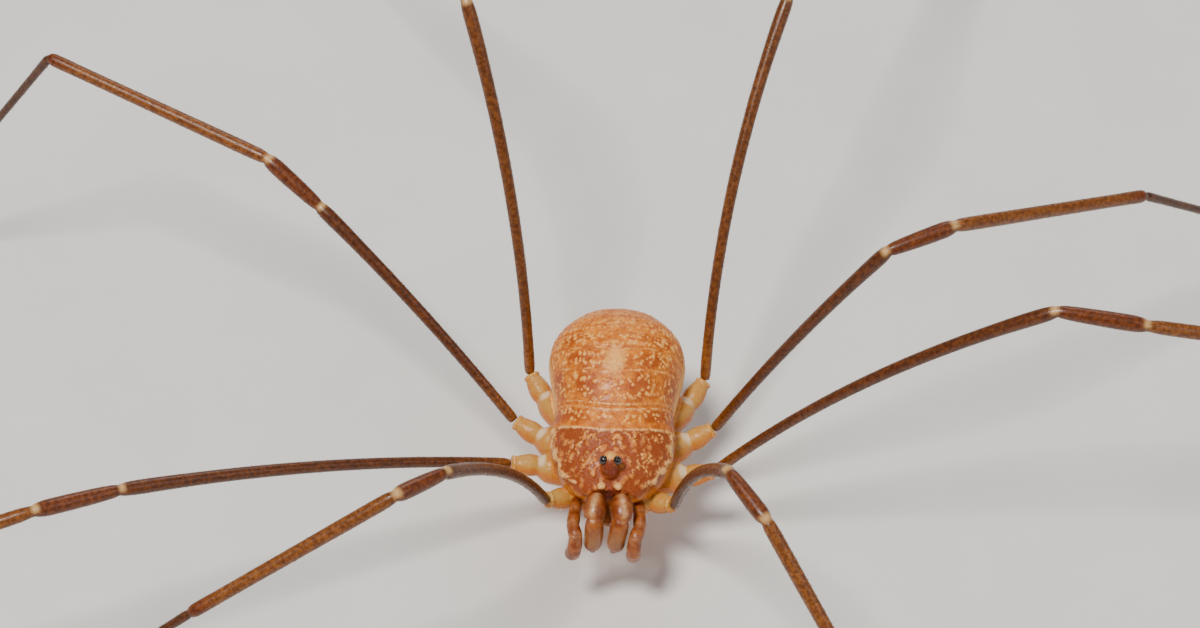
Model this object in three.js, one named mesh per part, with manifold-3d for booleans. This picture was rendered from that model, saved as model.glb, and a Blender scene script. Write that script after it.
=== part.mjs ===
// A life-size harvestman standing on eight long legs. Millimetres, +Z up.
// It faces -Y, its left side is at +X, and the origin is the middle of its footprint on the floor.
import * as THREE from "three";
import { mergeVertices } from "three/addons/utils/BufferGeometryUtils.js";
import Module from "manifold-3d";

const wasm = await Module();
wasm.setup();

// Driving sizes
const GAP = 0.12; // left between the pieces of the body and head
const JOINT_GAP = 0.22; // left between the segments of a leg
const BODY_HALF_WIDTH = 2.15;
const BODY_BELLY = 2.5; // height of the underside above the floor
const THIN_LEG = 0.26; // radius of a slender leg segment
const TIP_SHARE = 0.62; // a segment's end face against its own radius
const ANKLE_HEIGHT = 2.0; // where a metatarsus hands over to its tarsus
const TARSUS_SIDES = 8;
const SIDES = ["left", "right"];
const NUMBERS = [1, 2, 3, 4]; // the pairs of legs, from the front

// Each pair of legs: where the femur starts, and the lengths of its segments
const PAIRS = {
  1: { hip: [1.96, -1.64, 3.4], femur: 7.91, patella: 1.89, tibia: 7.0, metatarsus: 8.5, tarsus: 12 },
  2: { hip: [3.15, -0.27, 3.38], femur: 13.01, patella: 2.68, tibia: 13.0, metatarsus: 13.5, tarsus: 21 },
  3: { hip: [3.1, 1.4, 3.38], femur: 8.96, patella: 2.17, tibia: 7.81, metatarsus: 9.5, tarsus: 13 },
  4: { hip: [2.73, 3.26, 3.42], femur: 12.2, patella: 2.4, tibia: 9.5, metatarsus: 13, tarsus: 16 },
};

// The pose of a leg's upper segments: [degrees behind straight out to the side, degrees above level]
const POSE = {
  right_1: { femur: [-56.2, 53.3], patella: [-44.1, 15.5], tibia: [-19.6, -27.3] },
  left_1: { femur: [-66.8, 58.5], patella: [-53.3, -7.7], tibia: [-49.9, -36.5] },
  right_2: { femur: [-25, 21.2], patella: [-28.8, 11.2], tibia: [-21.4, -6.3] },
  left_2: { femur: [-1.5, 41.4], patella: [-2.2, -8.3], tibia: [8.4, -18] },
  right_3: { femur: [33.9, 33.8], patella: [31.3, 26.9], tibia: [24.7, 4.8] },
  left_3: { femur: [13.5, 55.3], patella: [23.4, 6.5], tibia: [33.7, -21.9] },
  right_4: { femur: [70.4, 57.9], patella: [70, 8], tibia: [64, -36] },
  left_4: { femur: [75.7, 44.8], patella: [74, 12], tibia: [68, -30] },
};
// The way that the metatarsus and the foot point, in degrees behind straight out to the side,
// how many degrees the tarsus then curls backwards along the floor,
// and how far the femur arches up and inwards
const REACH = {
  right_1: { foot: -14, curl: -25, bow: [0.5, 0] },
  left_1: { foot: -45, curl: 20, bow: [0.45, 0] },
  right_2: { foot: -18, curl: 24, bow: [0.45, 0] },
  left_2: { foot: 8, curl: -22, bow: [0.7, 0] },
  right_3: { foot: 2, curl: 35, bow: [0.25, 0] },
  left_3: { foot: 30, curl: -22, bow: [0.2, 0] },
  right_4: { foot: 60, curl: 24, bow: [0.5, 0.25] },
  left_4: { foot: 64, curl: -28, bow: [0.5, 0.35] },
};

const SHELL = new THREE.MeshStandardMaterial({ color: 0xc9752e, roughness: 0.5, metalness: 0 });
const PALE = new THREE.MeshStandardMaterial({ color: 0xd9a45c, roughness: 0.4, metalness: 0 });
const BROWN = new THREE.MeshStandardMaterial({ color: 0x7a4220, roughness: 0.45, metalness: 0 });
const MOUTH = new THREE.MeshStandardMaterial({ color: 0xb5652f, roughness: 0.45, metalness: 0 });
const EYE = new THREE.MeshStandardMaterial({ color: 0x0c0806, roughness: 0.08, metalness: 0 });

const vector = (p) => new THREE.Vector3(...p);
const radians = THREE.MathUtils.degToRad;

// A smooth rise from 0 to 1 as x goes from low to high
const rise = (low, high, x) => THREE.MathUtils.smoothstep(x, low, high);

// Reads a height or width off a short list of [position, value] pairs, with a smooth curve through them
function along(pairs, x) {
  const last = pairs.length - 1;
  if (x <= pairs[0][0]) return pairs[0][1];
  if (x >= pairs[last][0]) return pairs[last][1];
  const i = pairs.findIndex(([at]) => at > x);
  const [x0, v0] = pairs[i - 1];
  const [x1, v1] = pairs[i];
  const slope = (a, b) => (pairs[b][1] - pairs[a][1]) / (pairs[b][0] - pairs[a][0]);
  const s0 = slope(Math.max(i - 2, 0), i) * (x1 - x0);
  const s1 = slope(i - 1, Math.min(i + 1, last)) * (x1 - x0);
  const t = (x - x0) / (x1 - x0);
  const [square, cube] = [t ** 2, t ** 3];
  const settled = 3 * square - 2 * cube;
  return v0 * (1 - settled) + v1 * settled + s0 * (cube - 2 * square + t) + s1 * (cube - square);
}

// A closed cylinder whose vertices are moved by place(share along it, angle round it, out),
// where out is 1 on the wall and 0 on the axis
function bent(sides, steps, place, turn = 0) {
  const geometry = new THREE.CylinderGeometry(1, 1, 1, sides, steps);
  const at = geometry.getAttribute("position");
  const angles = new THREE.Vector2();
  for (let i = 0; i < at.count; i++) {
    angles.set(at.getX(i), at.getZ(i));
    const out = Math.min(1, Math.round(angles.length() * 1000) / 1000);
    const p = place(0.5 - at.getY(i), Math.atan2(angles.y, angles.x) + turn, out);
    at.setXYZ(i, p.x, p.y, p.z);
  }
  geometry.deleteAttribute("normal");
  geometry.deleteAttribute("uv");
  return mergeVertices(geometry, 1e-5);
}

function solid(geometry) {
  const made = new wasm.Manifold(
    new wasm.Mesh({
      numProp: 3,
      vertProperties: geometry.getAttribute("position").array,
      triVerts: new Uint32Array(geometry.index.array),
    }),
  );
  if (made.volume() < 0) throw new Error("a piece is inside out");
  return made;
}

// A manifold as a geometry again, keeping only its largest closed surface
function surface(made) {
  const whole = made.decompose().sort((a, b) => b.volume() - a.volume())[0];
  const { vertProperties, triVerts } = whole.getMesh();
  const geometry = new THREE.BufferGeometry();
  geometry.setAttribute("position", new THREE.BufferAttribute(vertProperties, 3));
  geometry.setIndex(new THREE.BufferAttribute(triVerts, 1));
  return geometry;
}

const fused = (geometries) => geometries.map(solid).reduce((whole, piece) => whole.add(piece));

// A limb of round section along a curve. radius(t) is its radius at share t of the curve.
// Its first corner lies to the side, which is across for the pieces that hang from the head
function limb(curve, radius, sides, steps, hanging = false) {
  const up = vector([0, 0, 1]);
  return bent(
    sides,
    steps,
    (t, angle, out) => {
      const centre = curve.getPoint(t);
      const tangent = curve.getTangent(t);
      const side = new THREE.Vector3().crossVectors(tangent, up);
      if (hanging) side.set(1, 0, 0).addScaledVector(tangent, -tangent.x);
      side.normalize();
      const over = new THREE.Vector3().crossVectors(side, tangent);
      const reach = radius(t) * out;
      return centre
        .addScaledVector(side, reach * Math.cos(angle))
        .addScaledVector(over, -reach * Math.sin(angle));
    },
    Math.PI / sides,
  );
}

// A round lump, longer along some axes
function lump(centre, size, segments = 10) {
  const geometry = new THREE.SphereGeometry(1, segments, Math.ceil(segments * 0.6));
  geometry.rotateX(Math.PI / 2);
  geometry.scale(...size);
  geometry.translate(...centre);
  geometry.deleteAttribute("normal");
  geometry.deleteAttribute("uv");
  return mergeVertices(geometry, 1e-5);
}

// The body's outline, as functions of y: half its width, its back and its underside
const CUT = 0.6; // the prosoma ends here, on the midline, and the opisthosoma starts
const SCUTE_EDGE = -0.12; // the carapace's rear edge, with one free plate behind it
const FRONT = -1.85;
const TAIL = 5.2;
const HALF_WIDTHS = [
  [FRONT, 0.88], [-1.3, 1.46], [-0.8, 1.82], [-0.2, 1.95], [0.35, 1.87], [0.7, 1.87], [1.5, 2.03],
  [2.6, BODY_HALF_WIDTH], [3.7, 1.97], [4.5, 1.47], [4.95, 0.9], [TAIL, 0.3],
];
const BACK_HEIGHTS = [
  [FRONT, 4.35], [-1.3, 4.75], [-0.6, 5.0], [0.6, 5.34], [1.6, 5.78],
  [2.6, 5.99], [3.6, 5.84], [4.4, 5.32], [4.95, 4.7], [TAIL, 4.2],
];
const BELLY_HEIGHTS = [
  [FRONT, 3.5], [-1.2, 2.8], [0, BODY_BELLY], [2.6, 2.45], [4.2, 2.85], [4.95, 3.35], [TAIL, 3.75],
];
const halfWidth = (y) => along(HALF_WIDTHS, y);
const back = (y) => along(BACK_HEIGHTS, y);
const belly = (y) => along(BELLY_HEIGHTS, y);
// The segments' edges sweep back at the sides, most at the front of the opisthosoma
const sweep = (y) => 0.75 * rise(-1.6, 0.4, y) * (1 - rise(1.2, 4.2, y));

const ROUNDNESS = 0.86; // below 1 makes the body's section squarer

// A point of the body's skin: station y, angle from the left margin over the back, scaled by out
function skin(y, angle, out, inset = 0) {
  const x = Math.cos(angle);
  const up = Math.sin(angle);
  const margin = THREE.MathUtils.lerp(belly(y), back(y), 0.5);
  const height = up > 0 ? back(y) - margin : margin - belly(y);
  const round = Math.sign(x) * Math.abs(x) ** ROUNDNESS;
  const side = (halfWidth(y) - inset) * round * out;
  const sweepBack = sweep(y) * (round * out) ** 2;
  return new THREE.Vector3(side, y + sweepBack, margin + (height - inset) * up * out);
}

// The back of the opisthosoma is a row of raised plates with grooves between them
const PLATE_EDGES = [CUT + GAP, 1.65, 2.38, 3.05, 3.68, 4.25, 4.7, 5.0, TAIL];
const GROOVE = 0.07;
const EDGE = 0.09;
const BODY_SIDES = 24;

function plateStations(edges, steps) {
  const stations = [];
  for (let i = 0; i + 1 < edges.length; i++) {
    const [from, to] = [edges[i], edges[i + 1]];
    const rim = Math.min(EDGE, (to - from) / 3);
    const top = to - from - 2 * rim;
    stations.push({ y: from, inset: GROOVE });
    for (let k = 0; k <= steps; k++) stations.push({ y: from + rim + (top * k) / steps, inset: 0 });
  }
  stations.push({ y: edges.at(-1), inset: GROOVE });
  return stations;
}

function plated(edges, steps, grow = 0) {
  const stations = plateStations(edges, steps);
  return bent(BODY_SIDES, stations.length - 1, (t, angle, out) => {
    const { y, inset } = stations[Math.round(t * (stations.length - 1))];
    return skin(y, -angle, out, inset - grow);
  });
}

// A coxa: the fixed first piece of a leg, which fans out from under the prosoma to the trochanter
const TROCHANTER = { length: 0.95, start: 0.35, middle: 0.4, end: 0.28 };
const COXA_ROOTS = {
  1: [0.5, -0.95, 3.05],
  2: [0.55, -0.35, 3.0],
  3: [0.6, 0.3, 2.95],
  4: [0.62, 0.85, 2.95],
};
const COXA_RADIUS = { root: 0.45, middle: 0.56, end: 0.42 };
const LOBE = { inward: 0.36, above: 0.27, size: [0.27, 0.27, 0.27] };
// The front margin's pair of small bumps, and the lobes round the mouth behind the jaws
const LAMELLAE = { x: 0.25, y: -1.78, z: 4.4, size: [0.14, 0.14, 0.12] };
const MOUTH_LOBES = { centre: [0, -1.86, 3.1], size: [0.5, 0.42, 0.42] };

const sideSign = (side) => (side === "left" ? 1 : -1);
const mirrored = (p, side) => vector([p[0] * sideSign(side), p[1], p[2]]);

function direction(side, [behind, above]) {
  const level = Math.cos(radians(above));
  return vector([
    sideSign(side) * Math.cos(radians(behind)) * level,
    Math.sin(radians(behind)) * level,
    Math.sin(radians(above)),
  ]);
}

function trochanterStart(side, number) {
  const hip = mirrored(PAIRS[number].hip, side);
  const root = mirrored(COXA_ROOTS[number], side);
  const outward = hip.clone().sub(root).normalize();
  const lean = outward.lerp(direction(side, POSE[`${side}_${number}`].femur), 0.35).normalize();
  return hip.addScaledVector(lean, -TROCHANTER.length);
}

function coxa(side, number, grow = 0) {
  const root = mirrored(COXA_ROOTS[number], side);
  const end = trochanterStart(side, number);
  const outward = end.clone().sub(root).normalize();
  const stop = end.clone().addScaledVector(outward, grow ? 0 : -GAP);
  const { root: r0, middle, end: r1 } = COXA_RADIUS;
  const radius = (t) => grow + along([[0, r0], [0.55, middle], [0.85, middle * 0.96], [1, r1]], t);
  return limb(new THREE.LineCurve3(root, stop), radius, 10, 4);
}

// The pale lobe on top of a coxa's outer end
function lobe(side, number) {
  const end = trochanterStart(side, number);
  const at = end.lerp(mirrored(COXA_ROOTS[number], side), LOBE.inward);
  return lump([at.x, at.y, at.z + LOBE.above], LOBE.size, 8);
}

// The plate that closes the underside between the hind coxae
const OPERCULUM = { centre: [0, 0.75, 2.62], size: [0.52, 1.05, 0.24] };

// How far a segment's face stays back from a joint that turns by the angle between two directions
function jointInset(radius, before, after) {
  return (JOINT_GAP * 0.5 + radius * TIP_SHARE * Math.tan(before.angleTo(after) / 2)) * 1.02;
}

// A leg segment: its radii along it, drawn in at both ends
function segmentRadius(radii) {
  const end = 0.07;
  return (t) => {
    const r = along(radii, t);
    const drawnIn = Math.min(rise(-0.01, end, t), rise(-0.01, end, 1 - t));
    return r * THREE.MathUtils.lerp(TIP_SHARE, 1, drawnIn);
  };
}

function prosoma() {
  const shield = plated([FRONT, SCUTE_EDGE, CUT], 5);
  const legs = SIDES.flatMap((side) => NUMBERS.map((n) => [side, n]));
  const coxae = legs.flatMap(([side, n]) => [coxa(side, n), lobe(side, n)]);
  const { x, y, z, size } = LAMELLAE;
  const lamellae = [-x, x].map((across) => lump([across, y, z], size, 8));
  const operculum = lump(OPERCULUM.centre, OPERCULUM.size, 12);
  const mouth = lump(MOUTH_LOBES.centre, MOUTH_LOBES.size, 12);
  const whole = fused([shield, ...coxae, ...lamellae, operculum, mouth]);
  // The carapace's margin stays clear of the first trochanters
  return SIDES.reduce((left, side) => left.subtract(solid(trochanter(side, 1, GAP))), whole);
}

function opisthosoma() {
  let whole = solid(plated(PLATE_EDGES, 2));
  for (const side of SIDES)
    for (const n of [3, 4]) whole = whole.subtract(solid(coxa(side, n, GAP)));
  const { centre, size } = OPERCULUM;
  return whole.subtract(solid(lump(centre, size.map((s) => s + GAP), 12)));
}

// The mound between the eyes, and the eyes set into its sides
const MOUND = { y: -1.28, base: 4.8, width: 0.31, length: 0.42, height: 0.5 };
const EYE_AT = [0.225, -1.36, 5.15];
const EYE_RADIUS = 0.16;

function mound() {
  const { y, base, width, length, height } = MOUND;
  const dome = solid(lump([0, y, base], [width, length, height], 14));
  const shield = solid(plated([FRONT, SCUTE_EDGE, CUT], 3, GAP * 0.6));
  const sockets = [-1, 1].map((s) => {
    const [x, ...rest] = EYE_AT;
    return solid(lump([s * x, ...rest], Array(3).fill(EYE_RADIUS + GAP / 2), 10));
  });
  return sockets.reduce((whole, socket) => whole.subtract(socket), dome.subtract(shield));
}

// A chelicera: a basal piece that points forward, and a hanging hand with two fingers
const CHELICERA = {
  basal: {
    line: [[0.38, -1.98, 3.88], [0.4, -2.3, 3.98], [0.43, -2.6, 3.82]],
    radii: [[0, 0.3], [0.4, 0.345], [1, 0.3]],
  },
  hand: {
    line: [[0.4, -2.66, 3.95], [0.36, -2.8, 3.3], [0.36, -2.72, 2.55]],
    radii: [[0, 0.2], [0.2, 0.29], [0.6, 0.3], [0.85, 0.28], [1, 0.16]],
  },
  fixedFinger: {
    line: [[0.38, -2.76, 2.7], [0.34, -2.72, 2.4], [0.25, -2.62, 2.2]],
    radii: [[0, 0.15], [1, 0.05]],
  },
  movingFinger: {
    line: [[0.32, -2.56, 2.75], [0.28, -2.51, 2.45], [0.23, -2.46, 2.22]],
    radii: [[0, 0.13], [1, 0.05]],
  },
};

// The jaws and palps hang a little to one side
const JAW_SWING = { from: 4.1, to: 2.0, across: -0.2 };

function hung(point, side) {
  const { from, to, across } = JAW_SWING;
  const p = mirrored(point, side);
  p.x += across * THREE.MathUtils.clamp((from - p.z) / (from - to), 0, 1);
  return p;
}

function chelicera(side) {
  const piece = ({ line, radii }, sides, steps) => {
    const curve = new THREE.CatmullRomCurve3(line.map((p) => hung(p, side)));
    return limb(curve, (t) => along(radii, t), sides, steps, true);
  };
  const { basal, hand, fixedFinger, movingFinger } = CHELICERA;
  return fused([
    piece(basal, 10, 4),
    piece(hand, 10, 7),
    piece(fixedFinger, 6, 2),
    piece(movingFinger, 6, 2),
  ]);
}

// A pedipalp, folded down beside the jaws: trochanter, femur, patella, tibia, and a tarsus with its claw
const PALP = {
  joints: [
    [0.95, -1.62, 3.25],
    [0.98, -1.98, 3.34],
    [1.02, -2.56, 3.42],
    [0.9, -2.94, 3.36],
    [0.9, -3.12, 2.92],
    [0.94, -2.94, 2.46],
  ],
  radii: [0.2, 0.21, 0.22, 0.23, 0.24],
  swell: 0.02,
  blunt: 0.75,
};

function pedipalp(side) {
  const { swell, blunt } = PALP;
  const pieces = PALP.radii.map((radius, i) => {
    const [from, to] = [PALP.joints[i], PALP.joints[i + 1]].map((p) => hung(p, side));
    const reach = to.clone().sub(from).normalize().multiplyScalar(0.09);
    const start = i === 0 ? from : from.clone().sub(reach);
    return limb(
      new THREE.LineCurve3(start, to.clone().add(reach)),
      (t) => along([[0, radius - 0.03], [0.25, radius], [0.75, radius + swell], [1, radius * blunt]], t),
      8,
      4,
      true,
    );
  });
  const tip = hung(PALP.joints.at(-1), side);
  const claw = limb(
    new THREE.LineCurve3(tip.clone(), tip.clone().add(vector([-0.04 * sideSign(side), 0.2, -0.14]))),
    (t) => 0.07 * (1 - 0.6 * t),
    6,
    1,
    true,
  );
  return fused([...pieces, claw]);
}

// The joints of a leg in order, and the directions of its straight segments
function legFrame(side, number) {
  const pair = PAIRS[number];
  const { femur, patella, tibia } = POSE[`${side}_${number}`];
  const reach = REACH[`${side}_${number}`];
  const hip = mirrored(pair.hip, side);
  const ways = {
    femur: direction(side, femur),
    patella: direction(side, patella),
    tibia: direction(side, tibia),
  };
  const knee = hip.clone().addScaledVector(ways.femur, pair.femur);
  const shin = knee.clone().addScaledVector(ways.patella, pair.patella);
  const heel = shin.clone().addScaledVector(ways.tibia, pair.tibia);
  const drop = Math.asin((heel.z - ANKLE_HEIGHT) / pair.metatarsus);
  ways.metatarsus = direction(side, [reach.foot, THREE.MathUtils.radToDeg(-drop)]);
  const ankle = heel.clone().addScaledVector(ways.metatarsus, pair.metatarsus);
  return { pair, reach, ways, hip, knee, shin, heel, ankle, drop };
}

// A femur arches a little: up, and inwards towards the body's midline
function femurCurve(side, { hip, knee, ways, reach }, start, stop) {
  const upright = vector([0, 0, 1]);
  const over = upright.addScaledVector(ways.femur, -upright.dot(ways.femur)).normalize();
  const inward = vector([-sideSign(side), 0, 0]);
  inward.addScaledVector(ways.femur, -inward.dot(ways.femur)).normalize();
  const [up, across] = reach.bow;
  const middle = hip.clone().lerp(knee, 0.5);
  middle.addScaledVector(over, 2 * up).addScaledVector(inward, 2 * across);
  const whole = new THREE.QuadraticBezierCurve3(hip, middle, knee);
  const from = start / whole.getLength();
  const to = 1 - stop / whole.getLength();
  const part = new THREE.Curve();
  part.getPoint = (t) => whole.getPoint(from + (to - from) * t);
  return part;
}

// A tarsus bends down from the ankle in an arc and then lies along the floor, curling a little to one side
function tarsusCurve(side, { pair, reach, ankle, drop }) {
  const flat = THIN_LEG * Math.cos(Math.PI / TARSUS_SIDES);
  const arcRadius = (ANKLE_HEIGHT - flat) / (1 - Math.cos(drop));
  const arcLength = arcRadius * drop;
  const outward = direction(side, [reach.foot, 0]);
  const backward = direction(side, [reach.foot + 90, 0]);
  const bend = radians(reach.curl) / pair.tarsus;
  const curve = new THREE.Curve();
  curve.getPoint = (t) => {
    const s = JOINT_GAP / 2 + t * (pair.tarsus - JOINT_GAP / 2);
    const turned = Math.max(0, drop - s / arcRadius);
    const away = arcRadius * (Math.sin(drop) - Math.sin(turned)) + Math.max(0, s - arcLength);
    const height = flat + arcRadius * (1 - Math.cos(turned));
    return vector([ankle.x, ankle.y, height])
      .addScaledVector(outward, Math.sin(bend * away) / bend)
      .addScaledVector(backward, (1 - Math.cos(bend * away)) / bend);
  };
  return curve;
}

// The tarsus's section: a flat-bottomed octagon that narrows at the tip and keeps to the floor
function tarsus(side, frame) {
  const curve = tarsusCurve(side, frame);
  const { lerp } = THREE.MathUtils;
  const radius = (t) => THIN_LEG * lerp(1, 0.45, rise(0.8, 1, t)) * lerp(0.8, 1, rise(0, 0.04, t));
  const turn = Math.PI / TARSUS_SIDES;
  return bent(
    TARSUS_SIDES,
    14,
    (t, angle, out) => {
      const centre = curve.getPoint(t);
      const before = curve.getPoint(Math.max(0, t - 0.002));
      const ahead = curve.getPoint(Math.min(1, t + 0.002)).sub(before).normalize();
      const across = vector([ahead.y, -ahead.x, 0]).normalize();
      const over = new THREE.Vector3().crossVectors(across, ahead);
      const lowered = t > 0.5 ? (THIN_LEG - radius(t)) * Math.cos(turn) : 0;
      return centre
        .addScaledVector(across, radius(t) * out * Math.cos(angle))
        .addScaledVector(over, -radius(t) * out * Math.sin(angle))
        .add(vector([0, 0, -lowered]));
    },
    turn,
  );
}

// Radii along each segment, thickest at its far end as on the animal
const FEMUR = [[0, 0.25], [0.3, 0.25], [0.8, 0.27], [0.95, 0.3], [1, 0.27]];
const PATELLA = [[0, 0.24], [0.5, 0.29], [1, 0.29]];
const TIBIA = [[0, 0.27], [0.4, 0.26], [0.9, 0.27], [1, 0.26]];
const METATARSUS = [[0, THIN_LEG], [1, THIN_LEG]];
const LEG_SIDES = 8;

function straight(from, to, startInset, endInset) {
  const way = to.clone().sub(from).normalize();
  return new THREE.LineCurve3(
    from.clone().addScaledVector(way, startInset),
    to.clone().addScaledVector(way, -endInset),
  );
}

function hipInset(side, number) {
  const lean = mirrored(PAIRS[number].hip, side).sub(trochanterStart(side, number)).normalize();
  return jointInset(TROCHANTER.end, lean, direction(side, POSE[`${side}_${number}`].femur));
}

function trochanter(side, number, grow = 0) {
  const { start, middle, end } = TROCHANTER;
  const radii = [[0, start], [0.45, middle], [1, end * 0.8]];
  const hip = mirrored(PAIRS[number].hip, side);
  const line = straight(trochanterStart(side, number), hip, -grow, hipInset(side, number));
  return limb(line, (t) => along(radii, t) + grow, 10, 5);
}

function legPieces(side, number) {
  const frame = legFrame(side, number);
  const { ways, hip, knee, shin, heel, ankle } = frame;
  const start = hipInset(side, number);
  const kneeInset = jointInset(0.3, ways.femur, ways.patella) + 0.02;
  const shinInset = jointInset(0.29, ways.patella, ways.tibia);
  const heelInset = jointInset(0.27, ways.tibia, ways.metatarsus);
  const segment = (curve, radii, steps) => limb(curve, segmentRadius(radii), LEG_SIDES, steps);
  return {
    trochanter: trochanter(side, number),
    femur: segment(femurCurve(side, frame, start, kneeInset), FEMUR, 10),
    patella: segment(straight(knee, shin, kneeInset, shinInset), PATELLA, 6),
    tibia: segment(straight(shin, heel, shinInset, heelInset), TIBIA, 7),
    metatarsus: segment(straight(heel, ankle, heelInset, JOINT_GAP / 2), METATARSUS, 5),
    tarsus: tarsus(side, frame),
  };
}

const animal = new THREE.Group();
const footprint = new THREE.Group();

function add(name, geometry, material) {
  const mesh = new THREE.Mesh(geometry, material);
  mesh.name = name;
  footprint.add(mesh);
}

add("prosoma", surface(prosoma()), SHELL);
add("opisthosoma", surface(opisthosoma()), SHELL);
add("ocularium", surface(mound()), SHELL);
for (const side of SIDES) {
  const [x, y, z] = EYE_AT;
  add(`eye_${side}`, lump([x * sideSign(side), y, z], Array(3).fill(EYE_RADIUS), 12), EYE);
  add(`chelicera_${side}`, surface(chelicera(side)), MOUTH);
  add(`pedipalp_${side}`, surface(pedipalp(side)), MOUTH);
  for (const number of NUMBERS)
    for (const [piece, geometry] of Object.entries(legPieces(side, number)))
      add(`${piece}_${side}_${number}`, geometry, piece === "trochanter" ? PALE : BROWN);
}

// The legs' footprint is centred on the origin
const box = new THREE.Box3().setFromObject(footprint);
const middle = box.getCenter(new THREE.Vector3());
footprint.position.set(-middle.x, -middle.y, -box.min.z);
animal.add(footprint);

export default animal;
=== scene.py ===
import math

import bpy
import numpy as np
from mathutils import Matrix, Vector


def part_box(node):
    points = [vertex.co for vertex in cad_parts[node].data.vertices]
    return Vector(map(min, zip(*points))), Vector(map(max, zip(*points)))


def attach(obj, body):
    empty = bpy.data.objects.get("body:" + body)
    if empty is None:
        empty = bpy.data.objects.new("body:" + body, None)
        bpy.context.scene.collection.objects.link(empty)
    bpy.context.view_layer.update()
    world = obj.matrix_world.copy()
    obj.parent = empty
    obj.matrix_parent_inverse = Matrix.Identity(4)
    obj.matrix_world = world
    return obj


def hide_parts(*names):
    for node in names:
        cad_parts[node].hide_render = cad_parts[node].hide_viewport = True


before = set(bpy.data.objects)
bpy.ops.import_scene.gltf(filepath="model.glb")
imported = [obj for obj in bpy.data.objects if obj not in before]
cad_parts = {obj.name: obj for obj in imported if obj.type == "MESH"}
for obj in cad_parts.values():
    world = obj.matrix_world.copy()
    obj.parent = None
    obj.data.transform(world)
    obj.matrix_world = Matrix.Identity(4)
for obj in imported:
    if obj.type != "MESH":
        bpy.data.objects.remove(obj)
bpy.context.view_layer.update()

MM = 0.001
SIDES = {"left": 1, "right": -1}
NUMBERS = (1, 2, 3, 4)
random = np.random.default_rng(seed=7)

# The middle of the left eye in the animal's own frame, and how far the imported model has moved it
EYE_AT = np.array([0.225, -1.36, 5.15])
eye_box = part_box("eye_left")
SHIFT = np.array((eye_box[0] + eye_box[1]) / 2) / MM - EYE_AT

# The camera: where it looks, from how far, and the width of the view there
LOOK_AT = np.array([-0.526, 2.946, 6.841])
CAMERA_DISTANCE = 130.0
VIEW_WIDTH = 36.6
CAMERA_AZIMUTH = 2.81
CAMERA_ELEVATION = 50.58
SENSOR = 36.0
NEAREST, FARTHEST = 0.005, 5  # what the camera sees, in metres

# Each pair of legs: where the left femur starts, and the lengths of the segments
PAIRS = {
    1: dict(hip=(1.96, -1.64, 3.4), femur=7.91, patella=1.89, tibia=7.0, metatarsus=8.5, tarsus=12),
    2: dict(hip=(3.15, -0.27, 3.38), femur=13.01, patella=2.68, tibia=13.0, metatarsus=13.5, tarsus=21),
    3: dict(hip=(3.1, 1.4, 3.38), femur=8.96, patella=2.17, tibia=7.81, metatarsus=9.5, tarsus=13),
    4: dict(hip=(2.73, 3.26, 3.42), femur=12.2, patella=2.4, tibia=9.5, metatarsus=13, tarsus=16),
}
# Each leg: the way of its first three segments, as [degrees behind straight out to the side, degrees
# above level], the way of its foot, how many degrees the tarsus curls backwards along the floor, and
# the femur's arch up and inwards
POSE = {
    "right_1": dict(
        femur=(-56.2, 53.3), patella=(-44.1, 15.5), tibia=(-19.6, -27.3), foot=-14, curl=-25, bow=(0.5, 0)
    ),
    "left_1": dict(
        femur=(-66.8, 58.5), patella=(-53.3, -7.7), tibia=(-49.9, -36.5), foot=-45, curl=20, bow=(0.45, 0)
    ),
    "right_2": dict(
        femur=(-25, 21.2), patella=(-28.8, 11.2), tibia=(-21.4, -6.3), foot=-18, curl=24, bow=(0.45, 0)
    ),
    "left_2": dict(
        femur=(-1.5, 41.4), patella=(-2.2, -8.3), tibia=(8.4, -18), foot=8, curl=-22, bow=(0.7, 0)
    ),
    "right_3": dict(
        femur=(33.9, 33.8), patella=(31.3, 26.9), tibia=(24.7, 4.8), foot=2, curl=35, bow=(0.25, 0)
    ),
    "left_3": dict(
        femur=(13.5, 55.3), patella=(23.4, 6.5), tibia=(33.7, -21.9), foot=30, curl=-22, bow=(0.2, 0)
    ),
    "right_4": dict(
        femur=(70.4, 57.9), patella=(70, 8), tibia=(64, -36), foot=60, curl=24, bow=(0.5, 0.25)
    ),
    "left_4": dict(
        femur=(75.7, 44.8), patella=(74, 12), tibia=(68, -30), foot=64, curl=-28, bow=(0.5, 0.35)
    ),
}
ANKLE_HEIGHT = 2.0  # where a metatarsus hands over to its tarsus
SOLID_FOOT = 0.24  # height of the solid tarsus's middle where it lies on the floor


def rise(low, high, x):
    """A smooth rise from 0 to 1 as x goes from low to high, or a fall where low is the higher."""
    t = np.clip((np.asarray(x, float) - low) / (high - low), 0, 1)
    return t * t * (3 - 2 * t)


def bell(x, middle, width):
    return np.exp(-(((np.asarray(x, float) - middle) / width) ** 2))


def along(pairs, x):
    """Reads a size off a short list of (position, value) pairs, with a smooth curve through them."""
    at, value = np.array(pairs, float).T
    x = np.clip(np.asarray(x, float), at[0], at[-1])
    i = np.clip(np.searchsorted(at, x, side="right") - 1, 0, len(at) - 2)
    step = at[i + 1] - at[i]
    before, after = np.maximum(i - 1, 0), np.minimum(i + 2, len(at) - 1)
    s0 = (value[i + 1] - value[before]) / (at[i + 1] - at[before]) * step
    s1 = (value[after] - value[i]) / (at[after] - at[i]) * step
    t = (x - at[i]) / step
    return (
        value[i] * (2 * t**3 - 3 * t**2 + 1)
        + s0 * (t**3 - 2 * t**2 + t)
        + value[i + 1] * (3 * t**2 - 2 * t**3)
        + s1 * (t**3 - t**2)
    )


def unit(v):
    return v / np.linalg.norm(v, axis=-1, keepdims=True)


def mirrored(point, side):
    return np.array([point[0] * SIDES[side], point[1], point[2]], float)


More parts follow.
